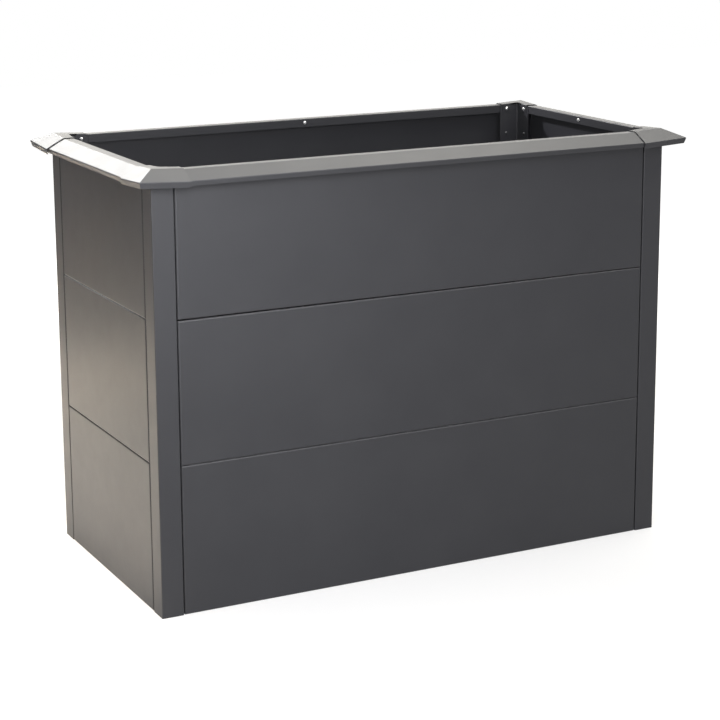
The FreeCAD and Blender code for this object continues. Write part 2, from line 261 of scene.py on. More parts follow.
@dataclass
class Shell:
    """A closed surface, or a part of one, as whole arrays."""

    MERGE = 2e-6  # points closer than this become one
    SHARP = math.radians(35.0)  # edges that turn further are sharp

    points: Array  # places, one row each
    quads: Array  # four point numbers for each face
    fold: Array  # how much bending thins the film at each point and paints a highlight on it, 1 at a plain bend

    @staticmethod
    def lofted(rings: Array, fold: Array) -> "Shell":
        """Joins closed rings of points, each to the next.

        Args:
            rings: places by ring and by point along it.
            fold: bend of the sheet, in the same order.

        Returns:
            The band of faces from the first ring to the last.
        """
        count, size = rings.shape[:2]
        rank = np.arange(count * size).reshape(count, size)
        onward = np.roll(rank, -1, axis=1)
        quads = np.stack([rank[:-1], onward[:-1], onward[1:], rank[1:]], axis=-1)
        return Shell(rings.reshape(-1, 3), quads.reshape(-1, 4), np.broadcast_to(fold, (count, size)).ravel())

    @staticmethod
    def patch(corner: Point, across: Point, along: Point, steps: Tuple[int, int]) -> "Shell":
        """Makes a flat grid: corner + u across + v along, with u and v from 0 to 1.

        Args:
            corner: one of its corners.
            across: its first edge from there.
            along: its second edge from there.
            steps: numbers of faces on the two edges.

        Returns:
            The sheet of faces.
        """
        u, v = (np.linspace(0.0, 1.0, count + 1) for count in steps)
        places = np.array(corner) + u[:, None, None] * across + v[:, None] * along
        rank = np.arange(len(u) * len(v)).reshape(len(u), len(v))
        quads = np.stack([rank[:-1, :-1], rank[1:, :-1], rank[1:, 1:], rank[:-1, 1:]], axis=-1)
        return Shell(places.reshape(-1, 3), quads.reshape(-1, 4), np.zeros(rank.size))

    @staticmethod
    def joined(shells: Sequence["Shell"]) -> "Shell":
        """Puts several shells into one set of arrays.

        Args:
            shells: the shells.

        Returns:
            All their points and faces in order.
        """
        starts = np.cumsum([0] + [len(shell.points) for shell in shells[:-1]])
        return Shell(
            np.concatenate([shell.points for shell in shells]),
            np.concatenate([shell.quads + start for shell, start in zip(shells, starts)]),
            np.concatenate([shell.fold for shell in shells]),
        )

    def placed(self, axes: Sequence[Point], origin: Point) -> "Shell":
        """Turns or mirrors the shell by the rows of a matrix, then moves its origin."""
        return Shell(self.points @ np.array(axes, float).T + np.array(origin), self.quads, self.fold)

    def piece(self, node: str, slot: str, material: Material) -> None:
        """Makes the object that stands for a node, with its seams merged, bends smooth and cut edges sharp.

        Args:
            node: the node that it replaces.
            slot: the record's material slot, which is not used here.
            material: the finish.
        """
        mesh = bpy.data.meshes.new(f"{node}_shell")
        mesh.from_pydata(self.points.tolist(), [], self.quads.tolist())
        mesh.attributes.new("fold", "FLOAT", "POINT").data.foreach_set("value", self.fold.astype(np.float32))
        shape = bmesh.new()
        shape.from_mesh(mesh)
        bmesh.ops.remove_doubles(shape, verts=shape.verts, dist=self.MERGE)
        bmesh.ops.recalc_face_normals(shape, faces=shape.faces)
        shape.to_mesh(mesh)
        shape.free()
        mesh.shade_smooth()
        mesh.set_sharp_from_angle(angle=self.SHARP)
        mesh.materials.append(material)
        piece = bpy.data.objects.new(f"{node}_shell", mesh)
        bpy.context.collection.objects.link(piece)
        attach(piece, "root")
        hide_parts(node)
        LOG.info("%s: %d faces, %s", piece.name, len(mesh.polygons), material.name)

    def furnish(self, name: str, material: Material) -> bpy.types.Object:
        """Makes an object of the studio.

        Args:
            name: its name.
            material: its finish.

        Returns:
            The object.
        """
        mesh = bpy.data.meshes.new(name)
        mesh.from_pydata(self.points.tolist(), [], self.quads.tolist())
        mesh.materials.append(material)
        thing = bpy.data.objects.new(name, mesh)
        bpy.context.collection.objects.link(thing)
        LOG.info("studio %s", name)
        return thing


@dataclass(frozen=True)
class Body:
    """Sizes that the sub-assemblies share, in metres."""

    length: float = 1.2  # outside the walls
    width: float = 0.59  # outside the walls
    gauge: float = 0.001  # thickness of the sheet
    bend: float = 0.001  # inside radius of its bends
    panel_bend: float = 0.0024  # inside radius of the trays' own, softer bends
    panel_heights: Tuple[float, float, float] = (0.315, 0.298, 0.298)  # from the ground up
    panel_depth: float = 0.025  # depth of the trays
    panel_lip: float = 0.012  # width of the trays' top and bottom lips
    post_face: float = 0.0472  # width of a post's outer faces
    post_lip: float = 0.0268  # width of its lips behind the panels
    groove: float = 0.0022  # gap between post and panel
    screw_inset: float = 0.0086  # distance from a panel's end to the screws in it
    rail_top: float = 0.914003  # height of the rails' flat top

    def span(self, wall: Wall) -> float:
        """Outside length of a wall."""
        return self.length if wall in (Wall.FRONT, Wall.BACK) else self.width

    def storey(self, level: Level) -> Pair:
        """Bottom and height of the panels on a level."""
        index = list(Level).index(level)
        return sum(self.panel_heights[:index]), self.panel_heights[index]

    @property
    def panel_start(self) -> float:
        """Distance along a wall from its outer corner to the panels."""
        return self.post_face + self.groove

    @property
    def lip_end(self) -> float:
        """Distance along a wall from its outer corner to the end of the post's lip."""
        return self.post_face + self.post_lip

    @property
    def screw_line(self) -> float:
        """Distance along a wall from its outer corner to the screws through the post's lip."""
        return self.panel_start + self.screw_inset

    @property
    def rim_screw_height(self) -> float:
        """Height of the screws through the top panels' upper lips."""
        return sum(self.panel_heights) - self.panel_lip / 2

    def on_wall(self, shell: Shell, wall: Wall) -> Shell:
        """Sets a shell from wall coordinates on its wall."""
        frames: Dict[Wall, Tuple[Sequence[Point], Point]] = {
            Wall.FRONT: (((1, 0, 0), (0, 1, 0), (0, 0, 1)), (0, -self.width / 2, 0)),
            Wall.BACK: (((1, 0, 0), (0, -1, 0), (0, 0, 1)), (0, self.width / 2, 0)),
            Wall.LEFT: (((0, 1, 0), (-1, 0, 0), (0, 0, 1)), (-self.length / 2, 0, 0)),
            Wall.RIGHT: (((0, -1, 0), (-1, 0, 0), (0, 0, 1)), (self.length / 2, 0, 0)),
        }
        return shell.placed(*frames[wall])

    def at_corner(self, shell: Shell, corner: Corner) -> Shell:
        """Sets a shell from corner coordinates, inward from the outer corner, at its corner."""
        x, y = corner.value
        return shell.placed(((-x, 0, 0), (0, -y, 0), (0, 0, 1)), (x * self.length / 2, y * self.width / 2, 0))


@dataclass
class FoldedStrip:
    """Section of a folded strip that lies on the right of an outline."""

    STEPS = 7  # faces round a bend
    LEAD = 0.0004  # flat strip beside a bend that keeps the flats flat

    near: Array  # points along the outline's own side, with rounded bends
    far: Array  # the matching points on the other side of the sheet
    fold: Array  # how sharply the sheet is bent at each pair of points

    @classmethod
    def bent(cls, corners: Sequence[Pair], gauge: float, radius: float) -> "FoldedStrip":
        """Folds a strip along an outline.

        The far side's corners are the outline's own, moved by gauge (n + m) / (1 + n.m), where n and m are
        the directions to the right of the runs before and after the corner. The fold is sin(pi t) along each
        arc, with t from 0 to 1, and 0 elsewhere.

        Args:
            corners: the outline's corners.
            gauge: thickness of the sheet.
            radius: inside radius of the bends.

        Returns:
            The section.
        """
        near = np.array(corners, float)
        runs = cls.directions(near)
        right = np.stack([runs[:, 1], -runs[:, 0]], axis=1)
        before = np.concatenate([right[:1], right])
        after = np.concatenate([right, right[-1:]])
        far = near + gauge * (before + after) / (1 + (before * after).sum(axis=1, keepdims=True))
        outside = radius + gauge
        wave = np.pad(np.sin(np.pi * np.linspace(0.0, 1.0, cls.STEPS + 1)), 1)
        fold = np.concatenate([[0.0], np.tile(wave, len(near) - 2), [0.0]])
        return cls(cls.rounded(near, radius, outside), cls.rounded(far, outside, radius), fold)

    @staticmethod
    def directions(corners: Array) -> Array:
        """Unit directions of an outline's runs."""
        runs = np.diff(corners, axis=0)
        return runs / np.linalg.norm(runs, axis=1, keepdims=True)

    @classmethod
    def rounded(cls, corners: Array, left: float, right: float) -> Array:
        """Rounds the corners of an open outline.

        A corner with the unit directions a before it and b after it turns by the angle t. Its arc of radius r
        starts at corner - a r tan(|t| / 2), and its points are c + r (a sin u - n cos u) for u from 0 to |t|,
        where n points from the arc's start to its centre c. A short lead comes before and after each arc.

        Args:
            corners: the outline.
            left: radius where it turns left.
            right: radius where it turns right.

        Returns:
            The outline's points in order.
        """
        runs = cls.directions(corners)
        before, after = runs[:-1], runs[1:]
        cross = before[:, 0] * after[:, 1] - before[:, 1] * after[:, 0]
        turn = np.arctan2(cross, (before * after).sum(axis=1))
        radius = np.where(turn > 0, left, right)[:, None]
        inward = np.sign(turn)[:, None] * np.stack([-before[:, 1], before[:, 0]], axis=1)
        start = corners[1:-1] - before * radius * np.tan(np.abs(turn) / 2)[:, None]
        centre = start + inward * radius
        angle = (np.abs(turn)[:, None] * np.linspace(0.0, 1.0, cls.STEPS + 1))[..., None]
        sweep = before[:, None] * np.sin(angle) - inward[:, None] * np.cos(angle)
        arc = centre[:, None] + radius[:, None] * sweep
        lead_in = arc[:, :1] - before[:, None] * cls.LEAD
        lead_out = arc[:, -1:] + after[:, None] * cls.LEAD
        bends = np.concatenate([lead_in, arc, lead_out], axis=1).reshape(-1, 2)
        return np.concatenate([corners[:1], bends, corners[-1:]])

    def arc_start(self, corner: int) -> int:
        """Number of the point where a corner's arc starts; a bend has STEPS + 1 points and two leads."""
        return 2 + corner * (self.STEPS + 3)

    def cut_at(self, last: int) -> "FoldedStrip":
        """The strip up to and with a point of its section."""
        return FoldedStrip(self.near[: last + 1], self.far[: last + 1], self.fold[: last + 1])

    def extended(self, near: Pair, far: Pair) -> "FoldedStrip":
        """The strip with one more pair of points at its end."""
        sides = np.vstack([self.near, near]), np.vstack([self.far, far])
        return FoldedStrip(*sides, np.append(self.fold, 0.0))

    @property
    def loop(self) -> Array:
        """The section as one closed loop: along the near side and back along the far side."""
        return np.concatenate([self.near, self.far[::-1]])

    def carried(self, rings: Array, ends: Ends) -> Shell:
        """Carries the section along a path.

        Args:
            rings: places of the closed loop's points at each station of the path.
            ends: stations closed by faces across the sheet, each with the pair of points where these begin.

        Returns:
            The strip's shell.
        """
        pairs = len(self.near)
        band = Shell.lofted(rings, np.concatenate([self.fold, self.fold[::-1]]))
        faces = [band.quads]
        for station, first in ends:
            step = np.arange(first, pairs - 1)
            across = np.stack([step, step + 1, 2 * pairs - 2 - step, 2 * pairs - 1 - step], axis=1)
            faces.append(across + (station % len(rings)) * 2 * pairs)
        return Shell(band.points, np.concatenate(faces), band.fold)

    def swept(self, places: Array, axis: int, ends: Ends) -> Shell:
        """Carries the section straight along an axis, past the places on it, and closes some ends."""
        section = np.broadcast_to(self.loop, (len(places), *self.loop.shape))
        return self.carried(np.insert(section, axis, places[:, None], axis=-1), ends)

    def upright(self, heights: Array) -> Shell:
        """Carries a section drawn in plan straight up and closes both ends."""
        return self.swept(heights, UP, ((0, 0), (-1, 0)))


@dataclass
class SheetWork:
    """A sub-assembly of coated sheet pieces."""

    body: Body  # the shared sizes
    coat: Material  # the finish

    def on_wall(self, shell: Shell, wall: Wall, node: str) -> None:
        """Makes a piece of a shell in wall coordinates."""
        self.body.on_wall(shell, wall).piece(node, "powder_coat", self.coat)

    def at_corners(self, **shells: Shell) -> None:
        """Makes pieces at every corner.

        Args:
            shells: their shells in corner coordinates, by name.
        """
        for corner in Corner:
            for name, shell in shells.items():
                self.body.at_corner(shell, corner).piece(f"{name}_{corner.label}", "powder_coat", self.coat)


@dataclass
class WallPanels(SheetWork):
    """The twelve tray panels: an outer sheet, four flanges and the lips folded back behind it."""

    seam: float = 0.0003  # open joint between a tray and the one above it
    corner: float = 0.35  # rounding of a tray's corners, as a share of its bends
    crown: float = 3.3  # painted highlight on a tray's upper edge, where light falls: how much paler its film is, against 1 at its other bends
    cut_edge_film_and_highlight: float = 0.6  # paler film on the lips' cut edges: a thinner film, and a painted highlight
    lift: Pair = (0.0022, 0.0004)  # how far the front's top tray stands off its seat, left and right
    arc_steps: int = 6  # faces round a quarter bend
    lead: float = 0.0004  # flat strip beside a bend that keeps the flats flat
    cells: float = 0.04  # size of the faces on the flats
    fewest: int = 4  # least number of faces along an edge
    slack: float = 1e-6  # how far below its highest points a tray's upper edge begins

    def build(self) -> None:
        """Builds every panel."""
        for wall in Wall:
            half = self.body.span(wall) / 2 - self.body.panel_start
            side_lip = self.body.lip_end - self.body.panel_start
            for level in Level:
                bottom, height = self.body.storey(level)
                left, right = self.lift if (wall, level) == (Wall.FRONT, Level.TOP) else (0.0, 0.0)
                shell = self.tray(half, height - self.seam - left, side_lip)
                axes = ((1.0, 0.0, 0.0), (0.0, 1.0, 0.0), ((right - left) / (2 * half), 0.0, 1.0))
                shell = shell.placed(axes, (0.0, 0.0, bottom + (left + right) / 2))
                self.on_wall(shell, wall, f"{wall.value}_panel_{level.value}")

    def tray(self, half: float, height: float, side_lip: float) -> Shell:
        """Makes a tray with its bottom edge at height 0.

        The folded rim is a row of rounded rectangles, from the edge of the inner face round the flanges and
        lips to the edge of the outer face. Two flat grids close the faces.

        Args:
            half: half its length.
            height: its height.
            side_lip: width of its side lips.

        Returns:
            The tray.
        """
        gauge, bend = self.body.gauge, self.body.panel_bend
        face = gauge + bend + self.lead
        sides = self.rim_side(bend), self.rim_side(gauge + bend)[:, ::-1]
        inset, inward, radius, fold = np.concatenate(sides, axis=1)
        lips = np.array([side_lip, self.body.panel_lip])
        insets = np.where(np.isnan(inset)[:, None], lips, inset[:, None])
        rings = self.rectangles(half, height, insets, radius)
        upper = rings[..., 1] > rings[..., 1].max(axis=1, keepdims=True) - self.slack
        places = np.insert(rings, 1, inward[:, None], axis=-1)
        # a tray's upper edge gets crown times its fold: a painted highlight where light falls on it
        shells = [Shell.lofted(places, fold[:, None] * np.where(upper, self.crown, 1.0))]
        across, along = (2 * (half - face), 0.0, 0.0), (0.0, 0.0, height - 2 * face)
        for level in (0.0, gauge):
            shells.append(Shell.patch((face - half, level, face), across, along, self.counts(half, height)))
        return Shell.joined(shells)

    def rim_side(self, radius: float) -> Array:
        """Works out one side of the folded rim, from a tray's face round its flange to the edge of its lip.

        Each quarter bend of radius r about a centre runs as r sin u and r cos u, with u from 0 to 90 degrees.

        Args:
            radius: radius of the bends on that side of the sheet.

        Returns:
            Rows of inset, depth, corner radius and fold; the lip's edge has no number for its inset.
        """
        outer, depth = self.body.gauge + self.body.panel_bend, self.body.panel_depth
        face, skin, soft = outer + self.lead, outer - radius, self.corner
        turn = np.linspace(0.0, math.pi / 2, self.arc_steps + 1)
        sine, cosine, wave = radius * np.sin(turn), radius * np.cos(turn), np.sin(2 * turn)
        back = depth - skin
        rows = (
            ([face], outer - sine, [skin, skin], outer - cosine, [face, np.nan]),
            ([skin], outer - cosine, [face, depth - face], depth - outer + sine, [back, back]),
            ([0.0], soft * sine, [soft * radius, soft * radius], soft * cosine, [0.0, 0.0]),
            # the lips' cut edges get a paler film, partly a painted highlight
            ([0.0], wave, [0.0, 0.0], wave, [0.0, self.cut_edge_film_and_highlight]),
        )
        return np.array([np.concatenate(row) for row in rows])

    def counts(self, half: float, height: float) -> Tuple[int, int]:
        """Numbers of faces along a tray's length and height."""
        return max(self.fewest, round(2 * half / self.cells)), max(self.fewest, round(height / self.cells))

    def rectangles(self, half: float, height: float, insets: Array, radius: Array) -> Array:
        """Draws rounded rectangles, all with the same number of points.

        The arc at each corner is centre + r (cos v, sin v) over a quarter turn, and even steps join it to the
        next.

        Args:
            half: half the length of the outermost.
            height: its height.
            insets: how far each lies inside it, along and up.
            radius: the corner radius of each.

        Returns:
            Places (along, up) by rectangle and point.
        """
        sides = np.array([(1, 1), (-1, 1), (-1, -1), (1, -1)], float)
        reach = np.array([half, height / 2]) - insets - radius[:, None]
        quarter = np.linspace(0.0, math.pi / 2, self.arc_steps + 1)
        angle = quarter + np.arange(4)[:, None] * math.pi / 2
        round_off = np.stack([np.cos(angle), np.sin(angle)], axis=-1)
        arcs = (reach[:, None] * sides)[:, :, None] + radius[:, None, None, None] * round_off
        arcs += np.array([0.0, height / 2])
        columns, rows = self.counts(half, height)
        parts: List[Array] = []
        for corner, steps in enumerate((columns, rows, columns, rows)):
            share = np.linspace(0.0, 1.0, steps + 1)[1:-1, None]
            first, last = arcs[:, corner, -1:], arcs[:, (corner + 1) % 4, :1]
            parts += [arcs[:, corner], first + (last - first) * share]
        return np.concatenate(parts, axis=1)


@dataclass
class CornerPosts(SheetWork):
    """The four corner posts and the angles that close them from inside."""

    overhang: float = 0.001  # how far an angle reaches past the post's lips
    angle_bend: float = 0.003  # inside radius of an angle's bend
    stations: int = 14  # rings of points from the ground to the top

    def build(self) -> None:
        """Builds every post and angle."""
        self.at_corners(corner_post=self.post(), inner_angle=self.angle())

    @property
    def heights(self) -> Array:
        """Heights of the rings."""
        return np.linspace(0.0, self.body.rail_top - self.body.gauge, self.stations)

    def post(self) -> Shell:
        """Makes a post: lip, web, face, face, web and lip, carried straight up.

        Returns:
            The post in corner coordinates.
        """
        face, lip, depth = self.body.post_face, self.body.lip_end, self.body.panel_depth
        arm = ((lip, depth), (face, depth), (face, 0.0))
        corners = (*arm, (0.0, 0.0), *(place[::-1] for place in arm[::-1]))
        return FoldedStrip.bent(corners, self.body.gauge, self.body.bend).upright(self.heights)

    def angle(self) -> Shell:
        """Makes a plain angle on the post's lips, carried straight up.

        Returns:
            The angle in corner coordinates.
        """
        depth, reach = self.body.panel_depth + self.body.gauge, self.body.lip_end + self.overhang
        corners = (reach, depth), (depth, depth), (depth, reach)
        return FoldedStrip.bent(corners, self.body.gauge, self.angle_bend).upright(self.heights)


@dataclass
class Rim(SheetWork):
    """The four cap rails and the four corner caps over their ends."""

    INNER_BEND = 2  # number of the bend between the flat top and the flange or tab

    flange: float = 0.0186  # height of a rail's inner flange
    ridge: float = 0.0037  # how far inside the wall's face the flat top ends
    overhang: float = 0.0325  # how far the nose stands out from the wall
    drop: float = 0.019  # fall of the slope
    lip: Pair = (0.003, 0.0098)  # how far the lip runs back and down from the nose
    from_panel: float = 0.009  # distance from a panel's end to the rail's
    flange_gap: float = 0.002  # gap between the angle and the rail's flange
    clearance: float = 0.0009  # gap between rail and cap
    nose_extra: float = 0.0045  # how much further the cap's nose stands out
    lip_extra: float = 0.0025  # how much lower the cap's lip reaches
    rise: float = 3.0  # tilt of the cap towards its corner, in degrees
    tab_width: float = 0.022  # width of a cap's screw tab
    tab_height: float = 0.02  # its height
    tab_margin: float = 0.0015  # distance from the cap's end to its tab
    inner_radius: float = 0.008  # rounding of the cap's inner corner
    cells: float = 0.04  # length of the faces along a rail
    mitre_steps: int = 12  # faces along a cap's arm from its tab to the diagonal

    def build(self) -> None:
        """Builds every rail and cap."""
        for wall in Wall:
            self.on_wall(self.rail(wall), wall, f"{wall.value}_cap_rail")
        self.at_corners(corner_cap=self.cap())

    @property
    def outline(self) -> List[Pair]:
        """Outer side of a rail's section.

        Returns:
            Its corners as depth and height, from the lip to the bottom of the flange.
        """
        top, inner = self.body.rail_top, self.body.panel_depth + self.body.gauge
        nose = (-self.overhang, top - self.drop)
        tip = (nose[0] + self.lip[0], nose[1] - self.lip[1])
        return [tip, nose, (self.ridge, top), (inner, top), (inner, top - self.flange)]

    @property
    def slope(self) -> float:
        """Fall of the slope for each step outward."""
        return self.drop / (self.overhang + self.ridge)

    def rail(self, wall: Wall) -> Shell:
        """Makes a rail: its section carried straight along the wall, with the flange left off under the caps.

        Args:
            wall: its wall.

        Returns:
            The rail in wall coordinates, centred along the wall.
        """
        full = FoldedStrip.bent(self.outline, self.body.gauge, self.body.bend)
        last = full.arc_start(self.INNER_BEND)
        half = self.body.span(wall) / 2
        end = half - self.body.panel_start - self.from_panel
        flange_end = half - self.body.lip_end - self.flange_gap
        steps = round(2 * flange_end / self.cells)
        middle = full.swept(np.linspace(-flange_end, flange_end, steps + 1), ALONG, ((0, last), (-1, last)))
        tongue = full.cut_at(last)
        left = tongue.swept(np.array([-end, -flange_end]), ALONG, ((0, 0),))
        right = tongue.swept(np.array([flange_end, end]), ALONG, ((-1, 0),))
        return Shell.joined([left, middle, right])

    def cap(self) -> Shell:
        """A corner cap: an arm that rises towards the corner up to the diagonal, and its mirror image."""
        arm = self.arm()
        return Shell.joined([arm, arm.placed(((0, 1, 0), (1, 0, 0), (0, 0, 1)), (0.0, 0.0, 0.0))])

    def cap_outline(self) -> List[Pair]:
        """Outer side of a cap's section: parallel to the rail's slope and top, with a longer nose and lip.

        Returns:
            Its corners as depth and height, from the lip to the bottom of the tab.
        """
        tip = self.outline[0]
        gap = self.clearance + self.body.gauge
        top = self.body.rail_top + gap
        ridge = self.ridge - gap * math.tan(math.atan(self.slope) / 2)
        out = self.overhang + self.nose_extra
        nose = top - (ridge + out) * self.slope
        fall = nose - tip[1] + self.lip_extra
        inner = self.body.panel_depth + 3 * self.body.gauge  # behind the panel: post lip, angle, tab
        return [
            (fall * self.lip[0] / self.lip[1] - out, nose - fall),
            (-out, nose),
            (ridge, top),
            (inner, top),
            (inner, top - self.tab_height),
        ]

    def arm(self) -> Shell:
        """Makes one arm of a cap.

        A point of the section at depth d and height h above the rail's top, carried s towards the corner,
        comes to x = end - s cos r + h sin r and z = top + s sin r + h cos r, where r is the rise. The arm
        starts on the plane x = end and stops on the diagonal x = d. Near the diagonal its inner edge follows
        a circle into the other arm.

        Returns:
            The arm, open on the diagonal.
        """
        corners = self.cap_outline()
        tabbed = FoldedStrip.bent(corners, self.body.gauge, self.body.bend)
        last = tabbed.arc_start(self.INNER_BEND)
        inner, top = corners[3]
        plain = tabbed.cut_at(last).extended((inner, top), (inner, top - self.body.gauge))
        tab_ends = self.tab_margin, self.tab_margin + self.tab_width
        start = self.tilted(plain, np.full(len(plain.loop), self.end))
        margin = self.tilted(plain, self.carried_to(plain, tab_ends[0]))
        first = plain.carried(np.stack([start, margin]), ((0, 0), (-1, last)))
        tab = [self.tilted(tabbed, self.carried_to(tabbed, distance)) for distance in tab_ends]
        middle = tabbed.carried(np.stack(tab), ((0, last), (-1, last)))
        near = self.carried_to(plain, tab_ends[1])
        stop = plain.loop[:, 0].copy()
        edge = slice(len(plain.near) - 1, len(plain.near) + 1)
        stop[edge] = inner + self.inner_radius * (1 - math.sqrt(0.5))
        rings = []
        for share in np.linspace(0.0, 1.0, self.mitre_steps + 1):
            ring = self.tilted(plain, near + (stop - near) * share)
            curve = np.clip(inner + self.inner_radius - ring[edge, 0], 0.0, self.inner_radius)
            ring[edge, 1] += self.inner_radius - np.sqrt(self.inner_radius ** 2 - curve ** 2)
            rings.append(ring)
        return Shell.joined([first, middle, plain.carried(np.stack(rings), ((0, last),))])

    @property
    def end(self) -> float:
        """Distance from the outer corner to a cap's end."""
        return self.body.screw_line + self.tab_width / 2 + self.tab_margin

    @property
    def lean(self) -> Pair:
        """Cosine and sine of the rise."""
        return math.cos(math.radians(self.rise)), math.sin(math.radians(self.rise))

    def carried_to(self, strip: FoldedStrip, distance: float) -> Array:
        """The x of each point of a cap section's loop, carried a distance from the cap's end."""
        level, up = self.lean
        return self.end - distance * level + (strip.loop[:, 1] - self.body.rail_top) * up

    def tilted(self, strip: FoldedStrip, x: Array) -> Array:
        """Places of a cap section's points where the lines that they run along reach some x.

        Args:
            strip: the section.
            x: one x for each point of its loop.

        Returns:
            The places.
        """
        level, up = self.lean
        above = strip.loop[:, 1] - self.body.rail_top
        carried = (self.end + above * up - x) / level
        z = self.body.rail_top + carried * up + above * level
        return np.stack([x, strip.loop[:, 0], z], axis=-1)


@dataclass
class CrossTies(SheetWork):
    """The two strips on edge that hold the long walls together, folded at each end onto the panels' lips."""

    gauge: float = 0.002  # thickness of the strip
    bend: float = 0.002  # inside radius of its bends
    tab: float = 0.026  # length of its folded ends
    edge_gap: float = 0.0005  # how far it stays inside the lips' edges
    stations: int = 5  # rings of points from its lower to its upper edge

    def build(self) -> None:
        """Builds both ties."""
        reach = self.body.width / 2 - self.body.panel_depth
        side, half = -self.gauge / 2, self.body.panel_lip - self.edge_gap
        corners = ((self.tab, -reach), (side, -reach), (side, reach), (self.tab, reach))
        strip = FoldedStrip.bent(corners, self.gauge, self.bend)
        for name, level in (("lower", Level.MIDDLE), ("upper", Level.TOP)):
            seam = self.body.storey(level)[0]
            shell = strip.upright(np.linspace(seam - half, seam + half, self.stations))
            shell.piece(f"cross_tie_{name}", "powder_coat", self.coat)


@dataclass
class Screws:
    """All the pan-head screws."""

    # radii of the dome's rings, which lie closer together over the cross
    DOME_RADII = np.concatenate([np.linspace(0.0, 0.0027, 14), [0.0031, 0.0035, 0.0038, 0.004]])
    HEAD_FACES = 40  # faces round the head
    THREAD_FACES = 10  # faces round the thread
    THREAD_RINGS = 40  # rings of points along it
    SUNK = 0.0004  # how far it starts inside the head
    SOFT = 0.00025  # width of the cross's sloping edges
    RIM_FOOT = 0.25  # height of the rim's lower edge, as a share of the shoulder
    UNDERSIDE = 0.97  # radius of the underside, as a share of the head's
    SEED = 7  # of the angles that the screws stop at

    body: Body  # the shared sizes
    plate: Material  # finish of the screws at the rim and in the ties
    dark: Material  # finish of the screws in the corner angles
    shank: float = 0.0021  # thread's outer radius
    core: float = 0.0016  # thread's inner radius
    length: float = 0.013  # length under the head
    tip: float = 0.003  # length of the point
    pitch: float = 0.0014  # rise of the thread
    head: float = 0.004  # the head's radius
    crown: float = 0.0031  # its height
    shoulder: float = 0.0009  # height of its rim
    recess: Tuple[float, float, float] = (0.00055, 0.0022, 0.0016)  # the cross's half width, half span, depth
    edge: float = 0.066  # height of the panel screws from the panels' upper and lower edges
    tie_side: float = 0.013  # distance of the tie screws from the bed's middle
    chance: np.random.Generator = field(default_factory=lambda: np.random.default_rng(Screws.SEED))

    def build(self) -> None:
        """Builds each group of screws as one piece."""
        # the heads lie on a rail's flange, on an angle or tie, or on a cap's tab
        flange, angle, tab = (self.body.panel_depth + sheets * self.body.gauge for sheets in (1, 2, 3))
        rim = self.body.rim_screw_height
        reach = {wall: self.body.span(wall) / 2 - self.body.screw_line for wall in Wall}
        ends = [(wall, side * reach[wall]) for wall in Wall for side in (-1, 1)]
        storeys = [self.body.storey(level) for level in Level]
        heights = [low + up for low, tall in storeys for up in (self.edge, tall - self.edge)]
        seams = [self.body.storey(level)[0] for level in (Level.MIDDLE, Level.TOP)]
        half_lip = self.body.panel_lip / 2
        panel = [(wall, (x, angle, z)) for wall, x in ends for z in heights]
        cap = [(wall, (x, tab, rim)) for wall, x in ends]
        rail = [(wall, (0.0, flange, rim)) for wall in Wall]
        tie = [
            (wall, (self.tie_side, angle, seam + side * half_lip))
            for wall in (Wall.FRONT, Wall.BACK)
            for seam in seams
            for side in (-1, 1)
        ]
        self.group("panel_screws", panel, "dark_screw_coat", self.dark)
        self.group("cap_screws", cap, "zinc_plated_steel", self.plate)
        self.group("rail_screws", rail, "zinc_plated_steel", self.plate)
        self.group("tie_screws", tie, "zinc_plated_steel", self.plate)

    def group(self, node: str, places: Sequence[Tuple[Wall, Point]], slot: str, finish: Material) -> None:
        """Builds one group, each screw driven home at its own angle.

        Args:
            node: the node that the group replaces.
            places: wall of each screw, and the middle of its head's underside in wall coordinates.
            slot: the record's material slot.
            finish: the screws' finish.
        """
        screw = Shell.joined([self.pan_head(), self.thread()])
        shells = []
        for wall, place in places:
            turn = self.chance.uniform(0.0, 2 * math.pi)
            axes = ((math.cos(turn), 0, -math.sin(turn)), (0, 1, 0), (math.sin(turn), 0, math.cos(turn)))
            shells.append(self.body.on_wall(screw.placed(axes, place), wall))
        Shell.joined(shells).piece(node, slot, finish)

    def pan_head(self) -> Shell:
        """Makes the head on a grid of radius and angle.

        Its dome is crown - (R - sqrt(R R - r r)) with R = (head^2 + d^2) / 2 d for a dome of height d. The
        cross is where one of two crossed bars covers the grid: there the dome drops towards the recess.

        Returns:
            The head, its underside at 0 and its axis along the second coordinate.
        """
        dome = self.crown - self.shoulder
        ball = (self.head ** 2 + dome ** 2) / (2 * dome)
        flat = self.DOME_RADII
        radius = np.concatenate([flat, [self.head, self.UNDERSIDE * self.head, 0.0]])
        top = self.crown - (ball - np.sqrt(ball ** 2 - flat ** 2))
        height = np.concatenate([top, [self.RIM_FOOT * self.shoulder, 0.0, 0.0]])
        angle = np.linspace(0.0, 2 * math.pi, self.HEAD_FACES, endpoint=False)
        x, z = radius[:, None] * np.cos(angle), radius[:, None] * np.sin(angle)
        half, span, depth = self.recess
        bar = [self.covers(half, a) * self.covers(span, b) for a, b in ((x, z), (z, x))]
        sunk = np.maximum(*bar) * (np.arange(len(radius)) < len(flat))[:, None]
        level = height[:, None] - sunk * np.maximum(height[:, None] - (self.crown - depth), 0.0)
        return Shell.lofted(np.stack([x, level, z], axis=-1), np.zeros((1, 1)))

    def covers(self, size: float, place: Array) -> Array:
        """1 where a place lies within a size of the middle and 0 where it does not, with a soft edge."""
        return np.clip((size - np.abs(place)) / self.SOFT + 0.5, 0.0, 1.0)

